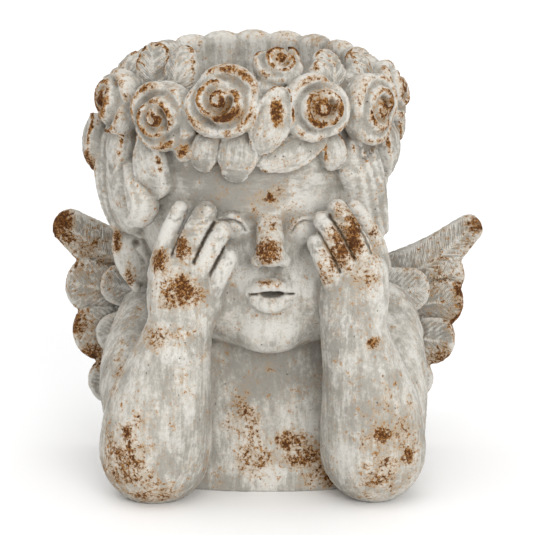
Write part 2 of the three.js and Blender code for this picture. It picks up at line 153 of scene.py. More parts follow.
def spine(stations, facing, along):
    at = splineThrough(stations, along)
    step = 0.01
    ahead = splineThrough(stations, along + step)[:, :3]
    behind = splineThrough(stations, along - step)[:, :3]
    tangent = unitRows(ahead - behind)
    across = unitRows(np.cross(tangent, np.asarray(facing, float)))
    outward = unitRows(np.cross(across, tangent))
    return at, tangent, across, outward


def limb(stations, facing=(0, -1, 0), sides=20, steps=8, caps=5, square=2.0, tip=None, carrier=None,
         strands=None):
    # A round-ended form along stations x, y, z, half width, half thickness: a sphere drawn out on a curve
    deselect()
    spans = (len(stations) - 1) * steps
    rows = spans + 2 * caps
    bpy.ops.mesh.primitive_uv_sphere_add(segments=sides, ring_count=rows, radius=1)
    piece = bpy.context.object
    co = readPoints(piece)
    row = np.arccos(np.clip(co[:, 2], -1, 1)) / math.pi * rows
    turn = np.arctan2(co[:, 1], co[:, 0])
    before = np.clip(caps - row, 0, caps) / caps
    after = np.clip(row - caps - spans, 0, caps) / caps
    cap = math.pi / 2 * np.maximum(before, after)
    at, tangent, across, outward = spine(stations, facing, np.clip((row - caps) / spans, 0, 1))
    half, thick = at[:, 3], at[:, 4]
    soft = lambda c: np.sign(c) * np.abs(c) ** (2 / square)
    reach = (tip * half if tip else np.minimum(half, thick)) * np.sin(cap)
    co = at[:, :3] + across * (half * np.cos(cap) * soft(np.cos(turn)))[:, None]
    co += outward * (thick * np.cos(cap) * soft(np.sin(turn)))[:, None]
    co += tangent * (np.where(before > 0, -1, 1) * reach)[:, None]
    writePoints(piece, co * unit)
    if carrier:
        piece.data.transform(carrier)
    turnOutward(piece)
    if strands:
        grain.append({"stations": stations, "facing": facing, "carrier": carrier, **strands})
    return piece


def applyModifier(piece, kind, **settings):
    pick([piece])
    modifier = piece.modifiers.new(kind.title(), kind)
    for name, value in settings.items():
        setattr(modifier, name, value)
    bpy.ops.object.modifier_apply(modifier=modifier.name)


def moulded(name, pieces, voxel, passes):
    # Presses pieces into one lump, and rubs its joins down
    pick(pieces)
    bpy.ops.object.join()
    lump = bpy.context.object
    lump.name = name
    applyModifier(lump, "REMESH", mode="VOXEL", voxel_size=voxel * unit)
    if passes:
        applyModifier(lump, "SMOOTH", factor=0.5, iterations=passes)
    return lump


def normalsOf(piece):
    normals = np.empty(len(piece.data.vertices) * 3, np.float32)
    piece.data.vertex_normals.foreach_get("vector", normals)
    return normals.reshape(-1, 3).astype(float)


def alongLine(co, points, width, deep=1):
    # The points near a line, and how close each lies: 1 on the line, 0 at its border. The tool's mark
    # reaches `deep` times as far from front to back as sideways.
    squeeze = np.array([1, 1 / deep, 1])
    points = np.asarray(points, float) * unit * squeeze
    co = co * squeeze
    reach = 1.6 * width * unit
    near = np.all((co > points.min(0) - reach) & (co < points.max(0) + reach), axis=1)
    index = np.nonzero(near)[0]
    gap = np.full(len(index), 1e9)
    for a, b in zip(points, [*points[1:], points[-1]]):
        step = b - a
        t = np.clip((co[index] - a) @ step / max(step @ step, 1e-12), 0, 1)
        gap = np.minimum(gap, np.linalg.norm(co[index] - a - t[:, None] * step, axis=1))
    return index, np.clip(1 - (gap / reach) ** 2, 0, 1)


def strokes(piece, marks):
    # Draws a tool along each mark: points, half width, and a depth that raises above 0 and cuts below it,
    # then the direction if it isn't the skin's own, and how deep the mark reaches
    co = readPoints(piece)
    normals = normalsOf(piece)
    for points, width, depth, *way in marks:
        index, close = alongLine(co, points, width, *way[1:])
        direction = np.asarray(way[0], float) if way else normals[index]
        co[index] += (close ** 2)[:, None] * direction * depth * unit
    writePoints(piece, co)


# Head

head = {
    "lumps": [
        ((-9, 2, 178), (75, 79, 84)),
        ((0, -22, 122), (57, 51, 46)),
        ((-28, -50, 120), (28, 27, 28)),
        ((30, -50, 120), (28, 27, 28)),
        ((1, -60, 97), (23, 17, 17)),
        ((1.5, -62, 121), (27, 19.5, 19)),
        ((0, -45, 100), (47, 26, 19)),
        ((1, -67, 151), (19, 10, 15)),
        ((0, -60, 172), (34, 16, 18)),
    ],
    "folds": [   # points, half width and depth of each
        ([(-15, -80, 136), (-20, -76, 124)], 5, -0.8),                 # beside the mouth
        ([(18, -80, 136), (23, -76, 124)], 5, -0.8),
        ([(-9, -79, 107), (2, -81, 106), (13, -79, 107)], 4, -2.0),    # below the lower lip
        ([(-34, -50, 84), (0, -66, 79), (36, -50, 84)], 5, -1.2),      # under the chin
    ],
    "voxel": 2.4,
    "passes": 22,
}


def makeHead():
    lumps = [ball(at, radii, segments=48, rings=32) for at, radii in head["lumps"]]
    lump = moulded("head", lumps, head["voxel"], head["passes"])
    marks = []
    for side, x in ((-1, -20), (1, 21)):
        marks.append(([(x - 8, -74, 157), (x + 8, -75, 157)], 8, -4.5))                  # eye sockets
        marks.append(([(x - 10 * side, -78, 170), (x + 12 * side, -72, 172)], 6, 1.2))   # brow
    strokes(lump, marks + head["folds"])
    return lump


# Face: laid on the head, the eyes half hidden by the fingers

face = {
    "bridge": [
        (0.5, -66, 180, 9, 4),
        (0.8, -71, 168, 7.4, 5.2),
        (1, -76.3, 158, 7.8, 6.6),
        (1.4, -82.5, 150.5, 8.4, 7.4),
    ],
    "noseTip": ((1.4, -87.2, 145.2), (9, 7.6, 7.8)),
    "nostril": (7.2, -82.5, 140.6),
    "nostrilSize": (4.8, 6.4, 4.4),
    "nostrilHoles": [(-2.6, -86, 137), (7, -85, 137.4)],
    "eyes": {-1: (-20, -69.2, 157.6), 1: (21, -69, 157)},
    "eyeSize": (10.2, 7.4, 7.8),
    "fullerLid": ((17, -68.6, 152.5), (7, 5, 6.5)),
    "lid": [   # from the eye's middle, as are the creases
        (-9, -3, -2.5, 0.9, 1.6),
        (-6, -6.6, 3.4, 1.2, 2.0),
        (-0.5, -7.6, 7.0, 1.3, 2.2),
        (8, -5.0, 5.6, 1.2, 2.0),
        (13, -1, 1.5, 1.0, 1.8),
    ],
    "creases": [   # over the lid, under its edge and below the eye
        ([(-10, -5, 3), (-6.5, -7.6, 8), (0, -8.2, 10.4), (9, -6, 9)], 1.0, -1.5),
        ([(-8, -5, -2), (-5.2, -7.4, 2.4), (0, -8.4, 4.8), (8, -6.4, 3.4)], 0.9, -2.0),
        ([(-7.5, -6, -4.5), (-2, -7, -8), (8, -5, -7.5)], 1.1, -1.1),
    ],
    "upperLip": [
        (-13.5, -76.2, 120.8, 1.4, 2.4),
        (-7.5, -78.8, 123.2, 3.2, 3.4),
        (-1.5, -81.0, 125.8, 4.7, 3.9),
        (1.2, -81.0, 125.1, 4.2, 3.9),
        (4.0, -81.0, 125.8, 4.7, 3.9),
        (10, -78.8, 123.2, 3.2, 3.4),
        (16, -76.0, 120.8, 1.4, 2.4),
    ],
    "lowerLip": [
        (-12, -76.0, 118.6, 1.8, 2.4),
        (-5.5, -78.8, 115.4, 4.3, 3.7),
        (1.3, -80.5, 114.3, 5.3, 4.1),
        (8, -78.8, 115.4, 4.3, 3.7),
        (14.5, -76.0, 118.6, 1.8, 2.4),
    ],
    "lips": [(-10.5, -80, 120), (-6, -81.5, 120.8), (1.5, -83, 120.5), (10, -81.5, 120.8), (15, -79, 120.2)],
    "slit": ((2.5, -80, 120.7), (8, 10, 2.1)),
    "voxel": 1.3,
    "passes": 12,
}


def makeFace():
    mid = figure["faceMiddle"]
    parts = [makeHead(), limb(face["bridge"], sides=24, steps=6), ball(*face["noseTip"])]
    parts += [limb(face["upperLip"], steps=6, caps=3), limb(face["lowerLip"], steps=6, caps=3)]
    reach, y, z = face["nostril"]
    for side in (-1, 1):
        parts.append(ball((mid + 0.7 + side * reach, y, z), face["nostrilSize"], (0, 0, side * 14)))
        eye = face["eyes"][side]
        parts.append(ball(eye, face["eyeSize"]))
        parts.append(limb(placed(face["lid"], eye, side), sides=12, steps=5, caps=2))
    parts.append(ball(*face["fullerLid"]))
    faceHead = moulded("face", parts, face["voxel"] * (1), face["passes"])
    marks = [([(mid + 1, -84, 135), (mid + 1, -84, 130)], 2.2, -1.0)]   # between the nose and the lip
    for side in (-1, 1):
        marks.append(([(mid + 0.7 + side * 12, -80, 147), (mid + 0.7 + side * 12, -80, 141)], 1.6, -1.0))
    strokes(faceHead, marks)
    return faceHead


def eyeMarks():
    marks = []
    for side, eye in face["eyes"].items():
        marks += [(placed(points, eye, side), width, depth) for points, width, depth in face["creases"]]
    return marks


# Ears: the left one shows, since the head is turned a little

ears = {
    "left": (-84, -14),
    "right": (61, 2),
    "helix": [   # from the ear's middle, but its height from the ground
        (-9, -8, 143, 1.8, 3),
        (-2, -6, 147.5, 2.2, 3.4),
        (5, -2, 145, 2.4, 4),
        (6, 0, 132, 2.4, 4),
        (1.5, -1, 120.5, 2.2, 3.6),
        (-6, -4, 110.5, 2.6, 3.4),
    ],
    "hollows": [
        ([(-78.4, -19, 138)], 2.2, -3.2, (0, -1, 0)),
        ([(-79, -19, 135), (-74.5, -19, 127.5)], 1.8, -1.8, (0, -1, 0)),
    ],
}


def makeEar(side):
    x, y = ears["left" if side < 0 else "right"]
    helix = placed(ears["helix"], (x, y, 0), side)
    shell = ball((x - side * 4, y + 2, 129.5), (12, 9, 19.5), (0, side * 14, 0))
    return [shell, limb(helix, sides=14, steps=6)]


# Arms and hands

arms = {
    "left": {
        "forearm": [
            (-65, -73, 28, 33, 34),
            (-62, -77, 52, 31, 32),
            (-55, -81, 82, 23.5, 24),
            (-50, -83, 101, 19, 17),
        ],
        "upper": [(-63, -60, 31, 29, 30), (-74, -32, 60, 26, 30), (-66, 0, 86, 26, 26)],
        "palm": [(-50, -82, 100, 18, 14), (-47, -80, 118, 22.5, 15), (-47, -80, 136, 20, 14.5)],
        "fingers": [
            [(-63, -76, 131, 5.8), (-59.5, -80, 145, 5.5), (-55, -81, 158, 5.2), (-49.5, -77, 169, 4.9)],
            [(-51, -82, 131, 7.4), (-46.5, -87, 145, 7.2), (-41, -87, 158, 7.0), (-35, -82, 168, 6.6)],
            [(-41, -86, 127, 6.6), (-36, -90, 140, 6.4), (-31, -89, 150, 6.2), (-26, -84.5, 158, 5.8)],
            [(-33, -85, 121, 6.2), (-28.5, -90, 131, 5.9), (-25, -90, 137.5, 5.6), (-22, -87, 143, 5.2)],
        ],
    },
    "right": {
        "forearm": [
            (61, -73, 28, 31, 34),
            (59, -77, 52, 29, 31),
            (53, -81, 82, 22.5, 23),
            (48, -83, 101, 19, 17),
        ],
        "upper": [(63, -60, 31, 29, 30), (69, -32, 60, 26, 30), (66, 0, 86, 26, 26)],
        "palm": [(48, -82, 100, 18, 14), (49, -80, 118, 20.5, 15), (51, -79, 135, 18, 14)],
        "fingers": [
            [(39, -84, 122, 6.4), (36, -89, 132, 6.4), (32, -90, 142, 6.2), (27.5, -85.5, 151, 5.7)],
            [(49, -84, 128, 6.2), (43.5, -90, 142, 6.0), (37, -90, 154, 5.7), (30.5, -84, 164, 5.3)],
            [(57.5, -80, 131, 6.6), (53, -86, 146, 6.4), (46.5, -86, 159, 6.1), (39, -81, 170, 5.7)],
            [(65, -71, 134, 5.8), (61.5, -75, 148, 5.6), (56, -75, 160, 5.2), (49, -71, 169, 4.8)],
        ],
    },
    "thumb": [(57, -70, 112, 8, 8), (62, -60, 124, 7.5, 7.5), (63, -50, 135, 6, 6)],
    "web": [(52, -50, 48, 20, 26), (50, -46, 92, 16, 24)],
    "wrists": [   # folds: points, half width and depth
        ([(-54, -102, 100), (-44, -101, 102.5), (-33, -97, 104)], 2.4, 0.9),
        ([(-52, -102, 104), (-42, -101, 106), (-33, -96, 107)], 1.8, -0.9),
        ([(45, -101, 106), (56, -101, 107.5), (65, -94, 108)], 2.4, 0.8),
    ],
    "voxel": 2.2,
    "passes": 14,
    "crack": {"width": 1.0, "depth": 2.6, "reach": 3.5, "from": 0.3},
}


def makeArm(side):
    arm = arms["left" if side < 0 else "right"]
    mirrored = lambda stations: placed(stations, (0, 0, 0), side)
    lump = moulded("arm", [
        limb(arm["forearm"], sides=32),
        limb(arm["upper"], facing=(0, -0.6, 1), sides=32),
        limb(mirrored(arms["web"])),
        limb(arm["palm"], sides=28, square=2.3),
        limb(mirrored(arms["thumb"])),
    ], arms["voxel"], arms["passes"])
    fingers = [limb([(*s, s[3]) for s in finger], sides=24, steps=6) for finger in arm["fingers"]]
    nails = []
    for finger in arm["fingers"]:
        x, y, z, r = finger[-1]
        away = Vector(finger[-1][:3]) - Vector(finger[-2][:3])
        slant = math.degrees(math.atan2(away.x, away.z))
        nails.append(ball((x, y - 0.62 * r, z + 0.5), (0.6 * r, 0.5 * r, 0.8 * r), (0, slant, 0)))
    return [lump] + fingers + nails


def fingerCracks():
    # Along the line where two fingers meet
    marks = []
    crack = arms["crack"]
    along = np.linspace(crack["from"], 1, 9)
    for side in ("left", "right"):
        fingers = arms[side]["fingers"]
        for one, two in zip(fingers[:-1], fingers[1:]):
            a, b = splineThrough(one, along), splineThrough(two, along)
            share = (a[:, 3] / (a[:, 3] + b[:, 3]))[:, None]
            line = a[:, :3] + (b[:, :3] - a[:, :3]) * share
            line[:, 1] = np.minimum(a[:, 1], b[:, 1]) - 0.4 * a[:, 3]
            marks.append((line, crack["width"], -crack["depth"], (0, -1, 0), crack["reach"]))
    return marks


def nailMarks():
    # A crease round the root of each nail
    marks = []
    for side in ("left", "right"):
        for finger in arms[side]["fingers"]:
            (x, y, z, r), = splineThrough(finger, np.array([0.84]))
            aside, front = 0.6 * r, y - 0.75 * r
            nail = [(x - aside, front, z + 1), (x, y - r, z - 0.6), (x + aside, front, z + 1)]
            marks.append((nail, 0.8, -0.7))
    return marks


# Trunk: chest and back, wide as it meets the ground

trunk = {
    "stations": [
        (0, -1, -20, 80, 68),
        (0, 1, 25, 80, 63),
        (-1, 4, 60, 76, 58),
        (-3, 4, 86, 62, 54),
        (-5, 4, 108, 50, 50),
    ],
}


def makeTrunk():
    body = limb(trunk["stations"], sides=64, steps=8, square=2.6, caps=3)
    return moulded("trunk", [body], 3, 8)


# Wings: round-ended feathers fanned from the shoulder blade, with coverts over their roots

wings = {
    "left": [
        [(-40, 58, 84, 20, 8), (-74, 52, 104, 19, 8), (-102, 48, 121, 16, 7.5), (-123, 45, 137, 11, 6.5)],
        [(-40, 56, 84, 18, 8), (-78, 50, 94, 19, 8), (-110, 45, 100, 18, 7)],
        [(-40, 55, 76, 18, 8), (-76, 50, 76, 19, 8), (-105, 44, 71, 19, 7)],
        [(-40, 54, 64, 17, 8), (-72, 48, 52, 18, 8), (-99, 42, 39, 15, 6.5)],
        [(-40, 52, 54, 16, 8), (-68, 46, 38, 15, 8), (-92, 40, 24, 12, 6.5)],
        [(-62, 37, 96, 15, 6), (-92, 35, 102, 13, 4.5)],
        [(-62, 36, 80, 15, 6), (-95, 34, 71, 13, 4.5)],
    ],
    "right": [
        [(38, 58, 82, 20, 8), (72, 52, 99, 17, 8), (100, 48, 114, 14.5, 7.5), (125, 45, 136, 8.5, 6.5)],
        [(38, 57, 84, 18, 8), (78, 51, 95, 18, 8), (110, 46, 107, 14, 6.5)],
        [(38, 56, 80, 18, 8), (76, 50, 86, 19, 8), (107, 44, 90, 17, 6.5)],
        [(38, 55, 72, 18, 8), (73, 49, 70, 18, 8), (103, 42, 66, 16, 6.5)],
        [(38, 54, 62, 17, 8), (68, 48, 52, 16, 8), (92, 41, 40, 13, 6.5)],
        [(38, 52, 52, 15, 8), (64, 46, 38, 14, 8), (87, 40, 26, 11, 6.5)],
        [(58, 37, 98, 15, 6), (88, 35, 99, 14, 5)],
        [(58, 35, 77, 15, 6), (84, 34, 71, 14, 5)],
    ],
    "barbs": {"kind": "feather", "pitch": 3.8, "depth": 0.36, "rim": 1.3, "slant": 1.1, "fine": 1},
}


def makeWing(side):
    feathers = wings["left" if side < 0 else "right"]
    return [limb(f, sides=24, square=2.4, tip=0.9, strands=wings["barbs"]) for f in feathers]


# Wreath: everything sits at an angle round the head's axis, seen from above, 0 at the brow

wreath = {
    "radius": 77,
    "roses": [
        (22, dict(angle=-10, height=230, out=7, tilt=10, spin=20)),
        (21, dict(angle=-35, height=221, out=6, spin=70)),
        (21, dict(angle=-67, height=223, out=4, tilt=8, spin=10)),
        (21.5, dict(angle=24, height=226, out=6, tilt=4, spin=50)),
        (20.5, dict(angle=51, height=223, out=6, tilt=4, spin=85)),
        (18, dict(angle=80, height=228, out=1, tilt=14)),
        (15, dict(angle=13, height=247.5, out=-14, tilt=40)),
    ],
    "backAngles": [-98, -127, -157, 173, 142, 110],
    "folds": [   # cupped leaves tucked under the roses
        (24, 16, dict(angle=-18, height=203, out=3, spin=165)),
        (30, 23, dict(angle=-5, height=202, out=3, spin=168)),
        (38, 21, dict(angle=15, height=202, out=3, spin=108)),
        (20, 16, dict(angle=34, height=201, out=2, spin=190)),
        (30, 25, dict(angle=50, height=197, out=2, spin=175)),
        (32, 24, dict(angle=74, height=196, out=4, spin=200)),
        (28, 20, dict(angle=93, height=207, out=6, spin=235)),
        (34, 24, dict(angle=-44, height=191, out=4, spin=200)),
        (30, 22, dict(angle=-66, height=197, out=6, spin=160)),
        (32, 24, dict(angle=-88, height=196, out=16, spin=150)),
    ],
    "leaves": [   # veined leaves standing round the mouth
        (25, 26, dict(angle=37, height=240.5, out=-8, tilt=10, spin=-10)),
        (28, 20, dict(angle=-92, height=234, out=-5, tilt=14, spin=20)),
        (28, 22, dict(angle=-34, height=243, out=-8, tilt=20, spin=10)),
        (26, 22, dict(angle=64, height=239, out=-9, tilt=14, spin=0)),
        (26, 20, dict(angle=97, height=232, out=-5, tilt=14, spin=-20)),
    ],
    "standing": [
        (-62, -39, 232, 7, 5),
        (-64, -40.5, 240, 11, 6),
        (-64.5, -41, 247, 11.5, 6),
        (-64, -40, 253.5, 8.5, 5),
    ],
    "backLeaves": [-112, -142, -171, 158, 126],
    "bud": (32, 23, dict(angle=7, height=220, out=6, spin=160), 12),
    "smallBud": ((-47, -75, 202), (6, 6, 7)),
    "veins": {"kind": "leaf", "pitch": 5, "depth": 0.3, "rim": 0.9, "slant": 0.8, "fine": 1},
    "cup": {"kind": "cup", "pitch": 5.5, "depth": 0.12, "rim": 1.6, "fine": 0.5},
}


def onBand(angle, height, out=0, tilt=0, spin=0):
    turn = math.radians(angle)
    outward = Vector((math.sin(turn), -math.cos(turn), 0))
    axisX, axisY = figure["headAxis"]
    reach = wreath["radius"] + out
    at = Vector((axisX + outward.x * reach, axisY + outward.y * reach, height)) * unit
    carrier = Matrix.Translation(at) @ Matrix.Rotation(turn, 4, "Z")
    carrier = carrier @ Matrix.Rotation(math.pi / 2 - math.radians(tilt), 4, "X")
    return carrier @ Matrix.Rotation(math.radians(spin), 4, "Z")


def arcPetal(radius, start, span, reach, width, height, base, lean, carrier):
    # A petal's rolled edge: an arc round the rose's own axis, its ends drawn in and lower
    stations = []
    for i in range(6):
        share = i / 5
        turn = math.radians(start + span * share)
        swell = math.sin(math.pi * share) ** 0.6
        r = radius * (reach + 0.1 * swell - 0.07 * share)
        stations.append((
            math.cos(turn) * r,
            math.sin(turn) * r,
            radius * (base + lean * swell),
            radius * width * (0.6 + 0.4 * swell),
            radius * height * (0.6 + 0.4 * swell),
        ))
    return limb(stations, facing=(0, 0, 1), sides=12, steps=4, caps=3, carrier=carrier)


def makeRose(radius, at, seed):
    chance = np.random.default_rng(seed)
    some = lambda spread: chance.uniform(-spread, spread)
    carrier = onBand(**at) @ Matrix.Diagonal((1 + some(0.06), 1 + some(0.06), 1, 1))
    middle = carrier @ Vector((0, 0, 0.5 * radius * unit)) / unit
    hearts.append((tuple(middle), (0.42 * radius,) * 3, 0.62 + some(0.15)))
    parts = [ball((0, 0, -0.04 * radius), (0.93 * radius, 0.93 * radius, 0.46 * radius), carrier=carrier)]
    for i in range(3):
        start = 120 * i + some(16)
        span, reach, base = 138 + some(14), 0.75 + some(0.03), 0.12 + some(0.06)
        parts.append(arcPetal(radius, start, span, reach, 0.18, 0.3, base, 0.08, carrier))
    inward = carrier @ Matrix.Translation((some(0.07) * radius * unit, some(0.07) * radius * unit, 0))
    for i in range(2):
        start = 180 * i + 55 + some(20)
        span, base = 190 + some(20), 0.34 + some(0.04)
        parts.append(arcPetal(radius, start, span, 0.43, 0.15, 0.32, base, 0.1, inward))
    coil = []
    for i in range(9):
        share = i / 8
        turn = math.radians(400 * share + 20)
        r = radius * (0.24 - 0.18 * share)
        lift = radius * (0.46 + 0.1 * share)
        coil.append((math.cos(turn) * r, math.sin(turn) * r, lift, radius * 0.09, radius * 0.27))
    parts.append(limb(coil, facing=(0, 0, 1), sides=10, steps=4, caps=2, carrier=inward))
    return parts


def makeLeaf(length, width, at, thickness=8, pattern="veins"):
    carrier = onBand(**at)
    stations = [
        (0, -0.42 * length, 0, 0.31 * width, 0.75 * thickness),
        (0, -0.18 * length, 0.12 * thickness, 0.47 * width, thickness),
        (0, 0.12 * length, 0.2 * thickness, 0.49 * width, thickness),
        (0, 0.34 * length, 0, 0.35 * width, 0.85 * thickness),
    ]
    strands = wreath[pattern]
    return limb(stations, facing=(0, 0, 1), sides=24, caps=8, tip=0.9, carrier=carrier, strands=strands)


def makeWreath():
    parts = []
    for seed, (radius, at) in enumerate(wreath["roses"]):
        parts += makeRose(radius, at, seed)
    for i, angle in enumerate(wreath["backAngles"]):
        at = dict(angle=angle, height=221 - 4 * (i % 2), out=1, tilt=6, spin=40 * i)
        parts += makeRose(19 - i % 2, at, 20 + i)
    parts += [makeLeaf(*leaf) for leaf in wreath["leaves"]]
    parts += [makeLeaf(*leaf, pattern="cup") for leaf in wreath["folds"]]
    for i, angle in enumerate(wreath["backLeaves"]):
        at = dict(angle=angle, height=204 + 3 * (i % 2), out=3, spin=170 + 20 * (i % 2))
        parts.append(makeLeaf(32, 24, at, pattern="cup"))
    parts.append(makeLeaf(*wreath["bud"], pattern="cup"))
    parts.append(limb(wreath["standing"], facing=(-0.4, -1, 0), sides=24, tip=0.7, strands=wreath["veins"]))
    parts.append(ball(*wreath["smallBud"]))
    return parts


# Hair: a curl over the left temple, smooth sweeps, and short wavy locks round the sides and back

hair = {
    "sides": [   # angle, height, radius, length, bend, half width and thickness
        (-70, 186, 80, 28, -4, 13, 9),
        (-97, 178, 84, 34, 4, 14, 9),
        (62, 182, 72, 28, -4, 12, 8),
        (82, 176, 72, 34, 4, 12, 8),
        (99, 180, 74, 34, -4, 12, 8),
    ],
    "rows": [(184, 76), (160, 74), (136, 67)],   # height and radius
    "masses": [   # the curl, then the sweeps before the left ear and over the right temple
        [
            (-79, -44, 186, 5, 5),
            (-75, -52, 178, 8, 8),
            (-71.5, -57, 170, 9.5, 9),
            (-73, -57, 163, 9, 8.5),
            (-78, -54, 158.5, 5, 5),
        ],
        [(-92, -12, 198, 10, 8), (-93, -13, 182, 11, 8), (-91, -14, 166, 10, 8), (-87, -15, 151, 8, 7)],
        [(50, -54, 198, 14, 8), (54, -52, 184, 15, 8.5), (58, -48, 168, 13, 8.5), (62.5, -44, 152, 9, 7)],
    ],
    "fills": [   # the hair's body under the locks
        ((-80, -20, 178), (15, 24, 34)),
        ((50, -48, 178), (14, 13, 24)),
    ],
    "broad": {"kind": "lock", "pitch": 6.5, "depth": 0.42, "fine": 0.25},
    "combed": {"kind": "lock", "pitch": 5.5, "depth": 0.3, "fine": 0.2},
}


def aroundHead(angle, radius, z, half, thick):
    turn = math.radians(angle)
    x, y = figure["headAxis"]
    return (x + math.sin(turn) * radius, y - math.cos(turn) * radius, z, half, thick)


def makeLock(angle, z, radius, length, bend, half, thick):
    turn = math.radians(angle)
    stations = [
        aroundHead(angle - bend, radius - 1, z + length / 2, half * 0.8, thick),
        aroundHead(angle + bend, radius, z, half, thick),
        aroundHead(angle - bend * 0.6, radius - 1, z - length / 2, half * 0.45, thick),
    ]
    return limb(stations, facing=(math.sin(turn), -math.cos(turn), 0), strands=hair["combed"])


def makeHair():
    locks = list(hair["sides"])
    for row, (height, radius) in enumerate(hair["rows"]):
        count = 8 - row
        for i in range(count):
            angle = 108 + 148 * (i + 0.5) / count
            locks.append((angle, height + 4 * (i % 2), radius, 32, -6 if row % 2 else 6, 14, 9))
    fills = [ball(*fill) for fill in hair["fills"]]
    masses = []
    for stations in hair["masses"]:
        facing = (math.copysign(0.6, stations[0][0]), -0.8, 0)
        masses.append(limb(stations, facing=facing, sides=28, strands=hair["broad"]))
    return [makeLock(*lock) for lock in locks] + fills + masses


# Bowl: a tapered round hollow in the crown, the band that walls its mouth and the petals round the band

bowl = {
    "profile": [(0, 60), (28, 60), (36, 68), (58, 190), (62, 240), (64, 310), (0, 310)],
    "band": [(0, 176), (71, 176), (76, 192), (77, 222), (72, 240), (0, 240)],
    "lobes": 21,
    "lobeRise": 0.5,
    "lobeRadius": 67,
}


def turned(profile, steps=96):
    # A profile of radius and height, spun round the head's axis
    deselect()
    x, y = figure["headAxis"]
    bpy.ops.mesh.primitive_plane_add(size=1)
    piece = bpy.context.object
    piece.data.clear_geometry()
    points = [(x * unit + r * unit, y * unit, z * unit) for r, z in profile]
    piece.data.from_pydata(points, [(i, i + 1) for i in range(len(points) - 1)], [])
    bpy.ops.object.mode_set(mode="EDIT")
    bpy.ops.mesh.select_all(action="SELECT")
    bpy.ops.mesh.spin(steps=steps, angle=2 * math.pi, center=(x * unit, y * unit, 0), axis=(0, 0, 1))
    bpy.ops.mesh.select_all(action="SELECT")
    bpy.ops.mesh.remove_doubles(threshold=1e-6)
    bpy.ops.mesh.normals_make_consistent(inside=False)
    bpy.ops.object.mode_set(mode="OBJECT")
    turnOutward(piece)
    return piece


def makeRim():
    lobes = []
    radius = bowl["lobeRadius"]
    half = math.pi * radius / bowl["lobes"] + 1.8
    x, y = figure["headAxis"]
    for i in range(bowl["lobes"]):
        turn = 2 * math.pi * (i + 0.5) / bowl["lobes"]
        across = (math.sin(turn), -math.cos(turn))
        top = 241 + 15 * ((1 + across[1]) / 2) ** 1.4 - bowl["lobeRise"] * half
        stations = [(x + across[0] * radius, y + across[1] * radius, z, half, 7.5) for z in (205, 222, top)]
        lobes.append(limb(stations, facing=(*across, 0), tip=bowl["lobeRise"]))
    return lobes


# Casting: everything is pressed into one, hollowed, smoothed and cut flat where it stands

carving = {   # shares of a form's half width or of its rim, and the shaft's width in millimetres
    "reach": 1.3,
    "closest": 1.35,
    "barbsTo": 0.86,
    "rimAt": 0.9,
    "rimWidth": 0.12,
    "rimRise": 0.6,
    "hollowTo": 0.82,
    "hollowDepth": 0.9,
    "shaftWidth": 1.3,
    "shaftRise": 0.9,
}


def localTo(element, co):
    # Where points lie on a feather, leaf or lock: how far along, across and out, and its half width there
    along = np.linspace(0, 1, 25)
    at, tangent, across, outward = spine(element["stations"], element["facing"], along)
    points, half, thick = at[:, :3] * unit, at[:, 3] * unit, at[:, 4] * unit
    if element["carrier"]:
        carrier = np.array(element["carrier"])
        points = points @ carrier[:3, :3].T + carrier[:3, 3]
        across, outward, tangent = (v @ carrier[:3, :3].T for v in (across, outward, tangent))
    margin = half.max() * 1.5
    near = np.all((co > points.min(0) - margin) & (co < points.max(0) + margin), axis=1)
    index = np.nonzero(near)[0]
    if not len(index):
        return None
    p = co[index]
    nearest = np.argmin(((p[:, None, :] - points[None]) ** 2).sum(2), axis=1)
    offset = p - points[nearest]
    beyond = np.einsum("ij,ij->i", offset, tangent[nearest])
    length = np.linalg.norm(np.diff(points, axis=0), axis=1).sum()
    run = along[nearest] * length + beyond
    t = np.einsum("ij,ij->i", offset, across[nearest]) / half[nearest]
    h = np.einsum("ij,ij->i", offset, outward[nearest]) / thick[nearest]
    past = np.where(run > length, run - length, np.where(run < 0, -run, 0)) / np.maximum(half[nearest], 1e-6)
    rho = np.sqrt(t ** 2 + h ** 2 + past ** 2)
    return index, run, t, h, past, rho, half[nearest]


